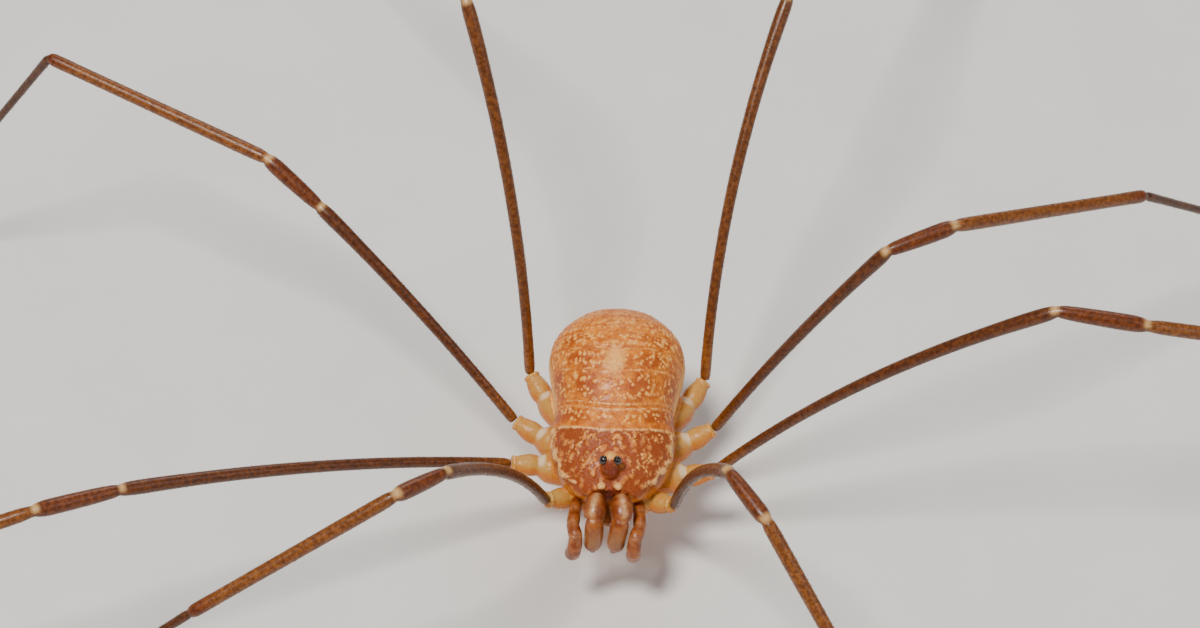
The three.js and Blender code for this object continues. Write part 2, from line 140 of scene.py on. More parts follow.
def direction(side, angles):
    behind, above = (math.radians(a) for a in angles)
    level = math.cos(above)
    return np.array([SIDES[side] * math.cos(behind) * level, math.sin(behind) * level, math.sin(above)])


def round_angles(count):
    return np.arange(count) * 2 * math.pi / count


def steps(a, b, count):
    """Evenly spaced points from a to b."""
    return a + (b - a) * np.linspace(0, 1, count)[:, None]


def loft(rings, start, end):
    """A closed skin over rings of points, with one more point at each end: vertices and faces."""
    count, sides = rings.shape[:2]
    faces = []
    for k in range(sides):
        n = (k + 1) % sides
        for i in range(count - 1):
            low, high = i * sides, (i + 1) * sides
            faces.append((low + k, high + k, high + n, low + n))
        faces.append((count * sides, k, n))
        faces.append((count * sides + 1, (count - 1) * sides + n, (count - 1) * sides + k))
    return np.vstack([rings.reshape(-1, 3), start, end]), faces


def tube(path, radii, sides, hanging=False):
    """A closed tube along a path, which goes nowhere straight up or down unless it is a hanging one."""
    path, radii = np.array(path, float), np.array(radii, float)
    ahead = unit(np.gradient(path, axis=0))
    if hanging:
        side = unit(np.array([1.0, 0, 0]) - ahead * ahead[:, :1])
    else:
        side = unit(np.cross(ahead, [0, 0, 1]))
    over = np.cross(side, ahead)
    turn = round_angles(sides)
    ring = side[:, None] * np.cos(turn)[None, :, None] + over[:, None] * np.sin(turn)[None, :, None]
    return loft(path[:, None] + ring * radii[:, None, None], path[0], path[-1])


def ball(centre, size, sides=32):
    """A round lump, longer along some axes."""
    turn = np.linspace(0.02, math.pi - 0.02, sides // 2 + 1)
    path = np.zeros((len(turn), 3))
    path[:, 0] = -np.cos(turn)
    points, faces = tube(path, np.sin(turn), sides)
    return points * np.array(size) + np.array(centre), faces


def mesh_of(name, points, faces):
    mesh = bpy.data.meshes.new(name)
    mesh.from_pydata([tuple(p) for p in points], [], faces)
    mesh.validate()
    return mesh


def finish_piece(name, mesh, points, masks, material, nodes):
    """Puts a mesh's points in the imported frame, stores its masks and makes it a piece."""
    placed = (points + SHIFT) * MM
    mesh.vertices.foreach_set("co", placed.astype(np.float32).ravel())
    for key, values in masks.items():
        layer = mesh.attributes.new(key, "FLOAT", "POINT")
        layer.data.foreach_set("value", np.asarray(values, np.float32))
    mesh.polygons.foreach_set("use_smooth", [True] * len(mesh.polygons))
    mesh.materials.append(material)
    mesh.update()
    piece = bpy.data.objects.new(name, mesh)
    bpy.context.scene.collection.objects.link(piece)
    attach(piece, "root")
    if nodes:
        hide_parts(*nodes)


SOFTENING = 0.5  # how far each round of smoothing moves a point


def melted(name, parts, voxel, smoothing):
    """One closed skin over several overlapping parts: its mesh, points and normals, in millimetres."""
    points, faces, start = [], [], 0
    for part_points, part_faces in parts:
        points.append(part_points)
        faces += [tuple(i + start for i in face) for face in part_faces]
        start += len(part_points)
    rough = bpy.data.objects.new(name + "_rough", mesh_of(name + "_rough", np.vstack(points), faces))
    bpy.context.scene.collection.objects.link(rough)
    remesh = rough.modifiers.new("melt", "REMESH")
    remesh.mode = "VOXEL"
    remesh.voxel_size = voxel
    soften = rough.modifiers.new("soften", "SMOOTH")
    soften.factor, soften.iterations = SOFTENING, smoothing
    shaped = rough.evaluated_get(bpy.context.evaluated_depsgraph_get())
    mesh = bpy.data.meshes.new_from_object(shaped)
    bpy.data.objects.remove(rough)
    mesh.name = name
    return mesh, *read_points(mesh)


def read_points(mesh):
    points = np.empty(len(mesh.vertices) * 3, np.float32)
    mesh.vertices.foreach_get("co", points)
    normals = np.empty(len(mesh.vertices) * 3, np.float32)
    mesh.vertices.foreach_get("normal", normals)
    return points.reshape(-1, 3).astype(float), normals.reshape(-1, 3).astype(float)


# The camera
def add_camera():
    a, e = math.radians(CAMERA_AZIMUTH), math.radians(CAMERA_ELEVATION)
    back = Vector((math.sin(a) * math.cos(e), -math.cos(a) * math.cos(e), math.sin(e)))
    data = bpy.data.cameras.new("camera")
    data.sensor_width = SENSOR
    data.lens = SENSOR * CAMERA_DISTANCE / VIEW_WIDTH
    data.clip_start, data.clip_end = NEAREST, FARTHEST
    camera = bpy.data.objects.new("camera", data)
    camera.location = Vector((LOOK_AT + SHIFT) * MM) + back * CAMERA_DISTANCE * MM
    camera.rotation_euler = back.to_track_quat("Z", "Y").to_euler()
    bpy.context.scene.collection.objects.link(camera)
    bpy.context.scene.camera = camera


add_camera()


# Materials. Each is built from masks stored on the mesh and from noise in the surface, with sizes and
# depths in millimetres
class Surface:
    """A material with short calls for the nodes that it is built from."""

    def __init__(self, name):
        self.material = bpy.data.materials.new(name)
        self.material.use_nodes = True
        self.nodes = self.material.node_tree.nodes
        self.links = self.material.node_tree.links
        self.shader = self.nodes["Principled BSDF"]
        self.place = self.nodes.new("ShaderNodeTexCoord").outputs["Object"]

    def link(self, value, socket):
        """Feeds a socket from another one, or sets it to a colour or a number."""
        if isinstance(value, bpy.types.NodeSocket):
            self.links.new(value, socket)
        elif isinstance(value, tuple):
            socket.default_value = (*value, 1)
        else:
            socket.default_value = value

    def mask(self, name):
        node = self.nodes.new("ShaderNodeAttribute")
        node.attribute_name = name
        return node.outputs["Fac"]

    def noise(self, size, detail=3, roughness=0.55):
        """Noise whose blotches are about size millimetres across, from 0 to 1."""
        node = self.nodes.new("ShaderNodeTexNoise")
        self.links.new(self.place, node.inputs["Vector"])
        node.inputs["Scale"].default_value = 1 / (size * MM)
        node.inputs["Detail"].default_value = detail
        node.inputs["Roughness"].default_value = roughness
        return node.outputs["Fac"]

    def cells(self, size, wobble=None):
        """Distance from the middles of cells about size millimetres across, bent by a noise."""
        node = self.nodes.new("ShaderNodeTexVoronoi")
        place = self.place
        if wobble is not None:
            shifted = self.nodes.new("ShaderNodeVectorMath")
            shifted.operation = "MULTIPLY_ADD"
            self.links.new(wobble, shifted.inputs[0])
            shifted.inputs[1].default_value = (size * MM,) * 3
            self.links.new(self.place, shifted.inputs[2])
            place = shifted.outputs[0]
        self.links.new(place, node.inputs["Vector"])
        node.inputs["Scale"].default_value = 1 / (size * MM)
        return node.outputs["Distance"]

    def between(self, value, low, high, to_low=0.0, to_high=1.0):
        """A smooth change from to_low to to_high as the value goes from low to high."""
        node = self.nodes.new("ShaderNodeMapRange")
        node.interpolation_type = "SMOOTHSTEP"
        self.link(value, node.inputs["Value"])
        for key, number in zip(("From Min", "From Max", "To Min", "To Max"), (low, high, to_low, to_high)):
            node.inputs[key].default_value = number
        return node.outputs["Result"]

    def combine(self, operation, a, b):
        node = self.nodes.new("ShaderNodeMath")
        node.operation = operation
        self.link(a, node.inputs[0])
        self.link(b, node.inputs[1])
        return node.outputs[0]

    def times(self, a, b):
        return self.combine("MULTIPLY", a, b)

    def plus(self, a, b):
        return self.combine("ADD", a, b)

    def mix(self, share, a, b):
        node = self.nodes.new("ShaderNodeMix")
        node.data_type = "RGBA"
        self.link(share, node.inputs["Factor"])
        self.link(a, node.inputs["A"])
        self.link(b, node.inputs["B"])
        return node.outputs["Result"]

    def bump(self, height, depth, strength=1.0, under=None):
        """Relief of a depth in millimetres, laid over another bump where one is given."""
        node = self.nodes.new("ShaderNodeBump")
        node.inputs["Strength"].default_value = strength
        node.inputs["Distance"].default_value = depth * MM
        self.link(height, node.inputs["Height"])
        if under is not None:
            self.links.new(under, node.inputs["Normal"])
        return node.outputs["Normal"]

    def made(self, colour, roughness, normal, **constants):
        self.link(colour, self.shader.inputs["Base Color"])
        self.link(roughness, self.shader.inputs["Roughness"])
        self.link(normal, self.shader.inputs["Normal"])
        for key, value in constants.items():
            self.shader.inputs[key.replace("_", " ")].default_value = value
        return self.material


# Colours, in linear light. A noise in the surface blends the two of a pair
ORANGE = (0.52, 0.108, 0.002)
GOLD = (0.80, 0.25, 0.010)
RUST = (0.33, 0.042, 0.001)
CREAM = (0.95, 0.50, 0.155)
PEACH = (0.94, 0.43, 0.09)
PALE_ORANGE = (0.92, 0.43, 0.10)
ROSE = (0.31, 0.054, 0.004)
PALE_ROSE = (0.68, 0.22, 0.035)
AMBER = (0.60, 0.17, 0.004)
# Lighter amber: tone that differs at random, and painted light on the upward faces of the coxae and
# trochanters
HONEY_AND_PAINTED_LIGHT = (0.56, 0.30, 0.065)
# Pale grey-white of the lobes at the leg roots, partly a painted highlight on their tops
PEARL_AND_HIGHLIGHT = (0.80, 0.62, 0.38)
# Dark wine red of the eye mound, also used as painted shade under the carapace's front edge
WINE_AND_SHADE = ((0.10, 0.008, 0.002), (0.22, 0.025, 0.004))

MOUTH_BROWN = ((0.20, 0.038, 0.005), (0.36, 0.10, 0.016))
MOUTH_GOLD = (0.40, 0.16, 0.035)
# Cream of the palps' pale joints, also used as a painted highlight on top of the chelicerae
MOUTH_CREAM_AND_HIGHLIGHT = (0.85, 0.50, 0.24)
MOUTH_BLACK = (0.05, 0.01, 0.003)

LEG_BROWN = ((0.060, 0.013, 0.0025), (0.135, 0.034, 0.006))
LEG_GOLD = ((0.17, 0.048, 0.007), (0.33, 0.11, 0.018))
LEG_RED = ((0.10, 0.016, 0.003), (0.19, 0.036, 0.007))
LEG_DUSK = ((0.05, 0.016, 0.006), (0.12, 0.042, 0.015))
LEG_SPECK = (0.03, 0.008, 0.003)
LEG_CREAM = (0.72, 0.42, 0.16)

BRISTLE_BROWN = ((0.045, 0.015, 0.008), (0.13, 0.05, 0.02))
EYE_BLACK = ((0.004, 0.003, 0.003), (0.02, 0.008, 0.004))
PAPER = ((0.78, 0.77, 0.75), (0.82, 0.81, 0.79))


def body_colour(s):
    """The body's colour from its masks, and the worm-shaped cells of the carapace."""
    fine = s.noise(0.07, 3)
    colour = s.mix(s.between(s.noise(0.22, 5, 0.7), 0.38, 0.62), ORANGE, GOLD)
    rust = s.between(s.plus(s.mask("rust"), s.noise(0.17, 5, 0.7)), 0.66, 1.05)
    colour = s.mix(s.times(rust, 0.75), colour, RUST)
    worms = s.cells(0.26, s.noise(0.2, 2))
    rose = s.mix(s.between(worms, 0.15, 0.5), PALE_ROSE, ROSE)
    colour = s.mix(s.mask("shield"), colour, rose)
    # The coxae and trochanters are painted lighter where they face upwards (lit), as painted light from
    # above; the noise adds tone that differs at random
    honey_and_painted_light = s.plus(s.mask("lit"), s.between(s.noise(0.35, 3), 0.35, 0.65, -0.25, 0.25))
    colour = s.mix(s.mask("amber"), colour, s.mix(honey_and_painted_light, AMBER, HONEY_AND_PAINTED_LIGHT))
    patchy = s.between(s.plus(s.mask("pale"), s.noise(0.11, 5, 0.8)), 0.8, 1.2)
    colour = s.mix(patchy, colour, PALE_ORANGE)
    # Pale lobes at the leg roots, with a painted highlight on their tops
    colour = s.mix(s.between(s.mask("pearl_and_highlight"), 0.1, 0.9), colour, PEARL_AND_HIGHLIGHT)
    grain = s.between(fine, 0.35, 0.65, -0.28, 0.2)
    colour = s.mix(s.between(s.plus(s.mask("peach"), grain), 0.1, 0.8), colour, PEACH)
    colour = s.mix(s.between(s.plus(s.mask("cream"), grain), 0.15, 0.85), colour, CREAM)
    # Wine red of the eye mound, and painted shade under the carapace's front edge
    wine_and_shade = s.mix(s.between(s.noise(0.15, 3), 0.35, 0.65), *WINE_AND_SHADE)
    return s.mix(s.mask("wine_and_shade"), colour, wine_and_shade), worms


def body_material():
    s = Surface("cuticle_body")
    colour, worms = body_colour(s)
    dry = s.between(s.noise(0.12, 3), 0.3, 0.7, 0.34, 0.52)
    roughness = s.plus(dry, s.between(s.mask("amber"), 0, 1, 0, -0.16))
    pebbles = s.bump(s.cells(0.09), 0.014, 0.8)
    folds = s.bump(s.times(s.between(worms, 0.6, 0.15), s.mask("shield")), 0.03, 1.0, pebbles)
    normal = s.bump(s.noise(0.04, 4, 0.65), 0.012, 0.8, folds)
    return s.made(
        colour, roughness, normal, Specular_IOR_Level=0.35, Subsurface_Weight=0.12, Subsurface_Scale=0.0003,
        Coat_Weight=0.08, Coat_Roughness=0.12,
    )


def mouth_material():
    s = Surface("cuticle_mouthparts")
    colour = s.mix(s.between(s.noise(0.25, 4), 0.38, 0.64), *MOUTH_BROWN)
    colour = s.mix(s.mask("golden"), colour, MOUTH_GOLD)
    # On the chelicerae this pale streak is a painted highlight; on the palps it marks pale joints
    highlight_and_pale_joints = s.times(s.mask("pale"), s.between(s.noise(0.12, 4, 0.65), 0.35, 0.65, 0.5, 1.2))
    colour = s.mix(highlight_and_pale_joints, colour, MOUTH_CREAM_AND_HIGHLIGHT)
    colour = s.mix(s.mask("dark"), colour, MOUTH_BLACK)
    roughness = s.between(s.noise(0.1, 3), 0.3, 0.7, 0.26, 0.44)
    normal = s.bump(s.noise(0.06, 4), 0.012, 0.8)
    return s.made(
        colour, roughness, normal, Specular_IOR_Level=0.4, Subsurface_Weight=0.15, Subsurface_Scale=0.0003,
        Coat_Weight=0.1, Coat_Roughness=0.15,
    )


def leg_material():
    s = Surface("cuticle_legs")
    streaks = s.between(s.noise(0.13, 4, 0.6), 0.36, 0.66)
    colour = s.mix(streaks, *LEG_BROWN)
    for mask, pair in (("golden", LEG_GOLD), ("red", LEG_RED), ("dusky", LEG_DUSK)):
        colour = s.mix(s.mask(mask), colour, s.mix(streaks, *pair))
    specks = s.between(s.noise(0.05, 2), 0.55, 0.63)
    colour = s.mix(s.times(specks, 0.5), colour, LEG_SPECK)
    colour = s.mix(s.mask("pale"), colour, LEG_CREAM)
    roughness = s.between(s.noise(0.1, 3), 0.3, 0.7, 0.24, 0.4)
    normal = s.bump(s.noise(0.04, 3), 0.01, 0.7)
    return s.made(colour, roughness, normal, Specular_IOR_Level=0.4, Coat_Weight=0.08, Coat_Roughness=0.15)


def bristle_material():
    s = Surface("cuticle_bristles")
    colour = s.mix(s.between(s.noise(0.3, 2), 0.4, 0.6), *BRISTLE_BROWN)
    normal = s.bump(s.noise(0.02, 2), 0.003, 0.5)
    return s.made(colour, s.between(s.noise(0.1, 2), 0.3, 0.7, 0.4, 0.6), normal)


def eye_material():
    s = Surface("eye_lens")
    colour = s.mix(s.between(s.noise(0.08, 3), 0.4, 0.7), *EYE_BLACK)
    normal = s.bump(s.noise(0.1, 2), 0.001, 0.3)
    gloss = s.between(s.noise(0.1, 2), 0.3, 0.7, 0.04, 0.09)
    return s.made(colour, gloss, normal, Coat_Weight=1.0, Coat_Roughness=0.03)


def floor_material():
    s = Surface("floor_paper")
    colour = s.mix(s.between(s.noise(6, 5), 0.3, 0.7), *PAPER)
    roughness = s.between(s.noise(2, 3), 0.3, 0.7, 0.75, 0.9)
    return s.made(colour, roughness, s.bump(s.noise(0.3, 4), 0.01, 0.3))


BODY = body_material()
MOUTH = mouth_material()
LEG = leg_material()
BRISTLE = bristle_material()
LENS = eye_material()

# The body's outline along its length, in millimetres
CUT = 0.6  # where the abdomen starts
SHIELD_REAR = -0.12  # the carapace's hind edge
FRONT = -1.85
TAIL = 5.2
TAIL_CAP = 4.7  # behind this the rings of the skin crowd together
INSET = 0.035  # how far the skin lies inside the solids
ROUNDNESS = 0.86  # below 1 the body is fuller at its sides than an ellipse
BODY_VOXEL = 0.032
BODY_RINGS, CAP_RINGS, BODY_SIDES = 110, 22, 96

HALF_WIDTHS = [
    (FRONT, 0.88), (-1.3, 1.46), (-0.8, 1.82), (-0.2, 1.95), (0.35, 1.87), (0.7, 1.87), (1.5, 2.03),
    (2.6, 2.15), (3.7, 1.97), (4.5, 1.47), (4.95, 0.9), (TAIL, 0.3),
]
BACK_HEIGHTS = [
    (FRONT, 4.35), (-1.3, 4.75), (-0.6, 5.0), (0.6, 5.34), (1.6, 5.78), (2.6, 5.99), (3.6, 5.84),
    (4.4, 5.32), (4.95, 4.7), (TAIL, 4.2),
]
BELLY_HEIGHTS = [(FRONT, 3.5), (-1.2, 2.8), (0, 2.5), (2.6, 2.45), (4.2, 2.85), (4.95, 3.35), (TAIL, 3.75)]


def half_width(y):
    return along(HALF_WIDTHS, y)


def back(y):
    return along(BACK_HEIGHTS, y)


def belly(y):
    return along(BELLY_HEIGHTS, y)


def sweep(y):
    """How far a plate's ends lie behind its middle."""
    return 0.75 * rise(-1.6, 0.4, y) * (1 - rise(1.2, 4.2, y))


def skin(y, angle):
    """Points of the body's skin at station y, at an angle from the left margin over the back."""
    y, angle = np.broadcast_arrays(np.asarray(y, float), np.asarray(angle, float))
    across, up = np.cos(angle), np.sin(angle)
    margin = (belly(y) + back(y)) / 2
    height = (back(y) - belly(y)) / 2
    round_x = np.sign(across) * np.abs(across) ** ROUNDNESS
    x = (half_width(y) - INSET) * round_x
    return np.stack([x, y + sweep(y) * round_x**2, margin + (height - INSET) * up], axis=-1)


def unrolled(points):
    """Where points lie on the body: share of its width, station, how far out (1 on the skin), how far up."""
    station = points[:, 1].copy()
    for _ in range(6):
        station = points[:, 1] - sweep(station) * np.clip(points[:, 0] / half_width(station), -1, 1) ** 2
    station = np.clip(station, FRONT, TAIL)
    share = points[:, 0] / half_width(station)
    margin = (belly(station) + back(station)) / 2
    height = (back(station) - belly(station)) / 2
    up = (points[:, 2] - margin) / height
    across = np.clip(np.abs(share), 0, 2) ** (1 / ROUNDNESS)
    return share, station, np.hypot(across, up), up


def shell():
    """The carapace, free plates and abdomen as one closed loft."""
    body = np.linspace(FRONT, TAIL_CAP, BODY_RINGS)
    cap = TAIL_CAP + (TAIL - TAIL_CAP) * np.sin(np.linspace(0.05, math.pi / 2, CAP_RINGS))
    stations = np.concatenate([body, cap])
    rings = skin(stations[:, None], -round_angles(BODY_SIDES)[None])
    return loft(rings, rings[0].mean(0), rings[-1].mean(0))


# Coxae, trochanters and the pale lobes between them
COXA_ROOTS = {1: (0.5, -0.95, 3.05), 2: (0.55, -0.35, 3.0), 3: (0.6, 0.3, 2.95), 4: (0.62, 0.85, 2.95)}
COXA_RADII = [(0, 0.4), (0.55, 0.5), (0.85, 0.47), (1, 0.3)]
COXA_END = 0.05  # how far a coxa reaches into its trochanter
COXA_RINGS, TROCHANTER_RINGS, LIMB_SIDES, LUMP_SIDES = 14, 20, 24, 20
TROCHANTER = 0.95
TROCHANTER_OVERLAP = 0.12  # how far it reaches back into its coxa
HIP_GAP = 0.04  # how far it stops short of its femur
TROCHANTER_RADII = [
    (0, 0.2), (0.15, 0.3), (0.42, 0.345), (0.75, 0.28), (0.86, 0.235), (0.95, 0.262), (1, 0.2),
]
HIP_LEAN = 0.35  # how much of the femur's way a trochanter follows
SWELLING = dict(inward=0.3, raised=0.25, radius=0.25)
LOBE = dict(inward=0.05, raised=0.05, radius=0.29)


def trochanter_ends(side, number):
    """Where a trochanter starts and ends, and the way that it points."""
    hip = mirrored(PAIRS[number]["hip"], side)
    root = mirrored(COXA_ROOTS[number], side)
    outward = unit(hip - root) * (1 - HIP_LEAN)
    lean = unit(outward + direction(side, POSE[f"{side}_{number}"]["femur"]) * HIP_LEAN)
    return hip - lean * TROCHANTER, hip, lean


def above_coxa(side, number, inward, raised):
    """A place over a coxa, at a share of the way inwards from its trochanter."""
    start, _, _ = trochanter_ends(side, number)
    return start + (mirrored(COXA_ROOTS[number], side) - start) * inward + np.array([0, 0, raised])


def lump_on_coxa(side, number, lump):
    return ball(above_coxa(side, number, lump["inward"], lump["raised"]), (lump["radius"],) * 3, LUMP_SIDES)


def coxa_parts(side, number):
    start, hip, lean = trochanter_ends(side, number)
    root = mirrored(COXA_ROOTS[number], side)
    line = steps(root, start + unit(start - root) * COXA_END, COXA_RINGS)
    coxa = tube(line, along(COXA_RADII, np.linspace(0, 1, COXA_RINGS)), LIMB_SIDES)
    line = steps(start - lean * TROCHANTER_OVERLAP, hip - lean * HIP_GAP, TROCHANTER_RINGS)
    trochanter = tube(line, along(TROCHANTER_RADII, np.linspace(0, 1, TROCHANTER_RINGS)), LIMB_SIDES)
    return [coxa, lump_on_coxa(side, number, SWELLING), lump_on_coxa(side, number, LOBE), trochanter]


MOUND = np.array([0, -1.28, 4.8])
MOUND_SIZE = np.array([0.29, 0.4, 0.48])
LAMELLAE = [np.array([s * 0.25, -1.78, 4.4]) for s in (-1, 1)]
LAMELLA_SIZE = (0.13, 0.13, 0.11)
HIND_PLATE = dict(centre=(0, 0.75, 2.62), size=(0.48, 1.0, 0.2))  # between the hind coxae
MOUTH_LOBES = dict(centre=(0, -1.86, 3.1), size=(0.47, 0.39, 0.39))


def body_parts():
    parts = [shell(), ball(MOUND, MOUND_SIZE), ball(**HIND_PLATE), ball(**MOUTH_LOBES)]
    parts += [ball(at, LAMELLA_SIZE, 16) for at in LAMELLAE]
    for side in SIDES:
        for number in NUMBERS:
            parts += coxa_parts(side, number)
    return parts


# The raised cream dots of the back, whose sizes are drawn from these ranges
ROW_DOT = dict(radius=(0.035, 0.075), height=(0.015, 0.03))
LOOSE_DOT = dict(radius=(0.028, 0.06), height=(0.01, 0.022))
SHIELD_DOT = dict(radius=(0.028, 0.048), height=(0.02, 0.032))
DOT_STRENGTH = (0.45, 1.0)
ROW_STEP = 0.13
SHORT_PLATE = 0.6  # plates shorter than this have one row of dots
LOOSE_DOTS = 75  # tries per square millimetre of half a plate
SHIELD_ROWS = 70
SHARE_LIMIT = 0.999

FREE_PLATE_EDGES = (0.5, 0.66)
PLATE_EDGES = [0.66, 1.65, 2.38, 3.05, 3.68, 4.25, 4.7, 5.0]
DOTTED_BANDS = [(0.0, 0.5), *zip(PLATE_EDGES, PLATE_EDGES[1:])]


def dot(share, station, kind):
    """A dot on the back: its place, radius, height and strength."""
    angle = math.acos(min(abs(share), SHARE_LIMIT) ** (1 / ROUNDNESS))
    place = skin(station, angle if share >= 0 else math.pi - angle)
    drawn = [random.uniform(*span) for span in (kind["radius"], kind["height"], DOT_STRENGTH)]
    return (*place, *drawn)


def rows_on_plate(low, high):
    """Dots in one or two uneven rows across a plate."""
    found = []
    length = high - low
    width = float(half_width((low + high) / 2))
    for row in (0.62,) if length < SHORT_PLATE else (0.3, 0.68):
        for share in np.arange(-0.94, 0.95, ROW_STEP / width):
            if random.random() < 0.7:
                station = low + length * (row + random.normal(0, 0.05))
                found.append(dot(share + random.normal(0, 0.02), station, ROW_DOT))
    return found


def loose_on_plate(low, high):
    """Dots strewn over a plate, more of them towards its ends."""
    found = []
    length = high - low
    width = float(half_width((low + high) / 2))
    for _ in range(int(LOOSE_DOTS * length * width)):
        share = random.uniform(-0.98, 0.98)
        if random.random() < 0.3 + 0.7 * abs(share):
            found.append(dot(share, low + length * random.uniform(0.1, 0.92), LOOSE_DOT))
    return found


def rows_on_shield():
    """Short wandering rows of dots on the carapace, which run forwards and outwards."""
    found = []
    for _ in range(SHIELD_ROWS):
        share, station = random.uniform(-0.78, 0.78), random.uniform(-1.3, -0.22)
        if abs(share) < 0.25 and station < -0.75:
            continue
        for _ in range(random.integers(2, 6)):
            found.append(dot(share, station, SHIELD_DOT))
            share += np.sign(share) * random.normal(0.025, 0.02)
            station -= random.uniform(0.04, 0.08)
    return found


def dots():
    found = []
    for low, high in DOTTED_BANDS:
        found += rows_on_plate(low, high)
        found += loose_on_plate(low, high)
    return np.array(found + rows_on_shield())


def spread(points, spots):
    """How strongly each point is covered by round spots, from 0 to 1, and the height that they raise it."""
    cover = np.zeros(len(points))
    height = np.zeros(len(points))
    order = np.argsort(points[:, 1])
    ordered = points[order, 1]
    for x, y, z, radius, raised, strength in spots:
        first, last = np.searchsorted(ordered, (y - 3 * radius, y + 3 * radius))
        near = order[first:last]
        gap = np.linalg.norm(points[near] - (x, y, z), axis=1) / radius
        cover[near] = np.maximum(cover[near], strength * np.exp(-(gap**3) * 0.7))
        height[near] = np.maximum(height[near], raised * np.exp(-(gap**2)))
    return cover, height


class Regions:
    """Where the skin's points lie on the body, as places on its outline and as masks from 0 to 1.

    The masks say how far a point faces upwards (dorsal), and whether it lies on the eye mound, on a coxa
    or trochanter (limbs), on the rest of the body (shell) and on the carapace (shield).
    """

    def __init__(self, points):
        self.points = points
        self.share, self.station, out, self.up = unrolled(points)
        self.side = np.abs(self.share)
        self.dorsal = rise(-0.15, 0.25, self.up)
        mound = np.linalg.norm((points - MOUND) / (MOUND_SIZE * 1.12), axis=1)
        self.mound = 1 - rise(0.95, 1.12, mound)
        front = 1 - rise(FRONT + 0.02, FRONT + 0.25, self.station)
        self.limbs = rise(1.03, 1.12, out) * (1 - self.mound) * (1 - front * (self.side < 0.9))
        self.shell = (1 - self.limbs) * (1 - self.mound)
        self.shield = (1 - rise(SHIELD_REAR - 0.04, SHIELD_REAR + 0.02, self.station)) * self.shell
        self.uneven = 0.78 + 0.14 * np.sin(self.share * 31) + 0.1 * np.sin(self.share * 53 + 1)


# The edges of the plates. Each function gives how cream the points are, and how far they rise
def shield_edge(r):
    cream = r.uneven * bell(r.station, SHIELD_REAR - 0.02, 0.045) * rise(0.98, 0.8, r.side)
    crest = 0.02 * bell(r.station, SHIELD_REAR - 0.02, 0.05)
    return cream, crest - 0.035 * bell(r.station, SHIELD_REAR + 0.07, 0.04)


def free_plate_edges(r):
    strength = 0.55 + 0.3 * bell(r.side, 0.1, 0.35) + 0.2 * (r.uneven - 0.7)
    cream = np.max([0.8 * bell(r.station, at, 0.045) * strength for at in FREE_PLATE_EDGES], axis=0)
    crests = sum(0.016 * bell(r.station, at, 0.04) for at in FREE_PLATE_EDGES)
    return cream, crests - 0.03 * bell(r.station, sum(FREE_PLATE_EDGES) / 2, 0.035)


def plate_edge(r, at):
    """One of the wavy lines across the abdomen."""
    wavy = r.station + 0.022 * np.sin(r.share * 9 + 1) + 0.012 * np.sin(r.share * 23)
    strength = rise(0.02, 0.2, r.side) * rise(0.98, 0.75, r.side)
    strength = strength * (0.75 + 0.35 * np.sin(r.share * 17 + at * 5))
    height = 0.012 * bell(wavy, at - 0.03, 0.05) - 0.026 * bell(wavy, at + 0.04, 0.04)
    return 0.66 * bell(wavy, at, 0.045) * strength, height


def shield_margin(r):
    """The broad wavy ridge along each side of the carapace."""
    left = np.sign(r.share)
    wave = 0.93 + 0.02 * np.sin(r.station * 8 + left) + 0.018 * np.sin(r.station * 19 + 2 * left)
    wave = wave - 0.07 * (1 - rise(-1.5, -1.2, r.station))
    width = 0.045 + 0.014 * np.sin(r.station * 13 + 2 * left)
    ends = rise(-1.62, -1.5, r.station) * (1 - rise(-0.12, -0.04, r.station))
    margin = bell(r.side, wave, width) * ends * rise(0.0, 0.2, r.up)
    return (0.78 + 0.2 * np.sin(r.station * 23 + left)) * margin, 0.05 * margin


def lamella_caps(r):
    apart = np.min([np.linalg.norm(r.points - at - (0, 0, 0.04), axis=1) for at in LAMELLAE], axis=0)
    return 0.95 * (1 - rise(0.08, 0.18, apart))


# Patches on the abdomen: strength, then middle and width along the body, and middle and width across it
RUSTY_PATCHES = [
    (0.75, (1.15, 0.36), (0.42, 0.17)),
    (0.5, (2.02, 0.28), (0.52, 0.2)),
    (0.45, (1.2, 0.4), (0.86, 0.1)),
    (0.35, (2.75, 0.25), (0.6, 0.2)),
]
PALE_PATCHES = [(0.75, (2.0, 0.75), (0, 0.2)), (0.45, (3.6, 0.7), (0, 0.3))]


def patches(r, rows):
    return [
        strength * bell(r.station, *lengthwise) * bell(r.side, *across)
        for strength, lengthwise, across in rows
    ]


def rusty(r):
    rust = 0.15 + sum(patches(r, RUSTY_PATCHES)) + 0.6 * bell(r.station, 0.25, 0.2) * rise(0.3, 0.65, r.side)
    return np.clip(rust, 0, 1) * r.dorsal * r.shell * (r.station > SHIELD_REAR)


def pale(r):
    flanks = 0.8 * rise(0.9, 0.99, r.side) * rise(0.3, 0.8, r.station)
    underside = 0.45 * (1 - r.dorsal) * (r.station > CUT)
    cover = np.max([*patches(r, PALE_PATCHES), flanks, underside], axis=0)
    mound_top = rise(-1.48, -1.3, r.points[:, 1]) * rise(4.95, 5.15, r.points[:, 2])
    return np.clip(cover, 0, 1) * r.shell + r.mound * mound_top


def pearl_and_highlight_cover(r):
    """The pale lobes at the roots of the legs, whose whitish tops are partly a painted highlight."""
    cover = np.zeros(len(r.points))
    for side in SIDES:
        for number in NUMBERS:
            _, _, lean = trochanter_ends(side, number)
            apart = r.points - above_coxa(side, number, LOBE["inward"], LOBE["raised"]) - (0, 0, 0.22)
            distance = np.sqrt(np.sum(apart**2, axis=1) + 2.2 * (apart @ lean) ** 2)
            cover = np.maximum(cover, 1 - rise(0.08, 0.4, distance))
    return cover * r.limbs


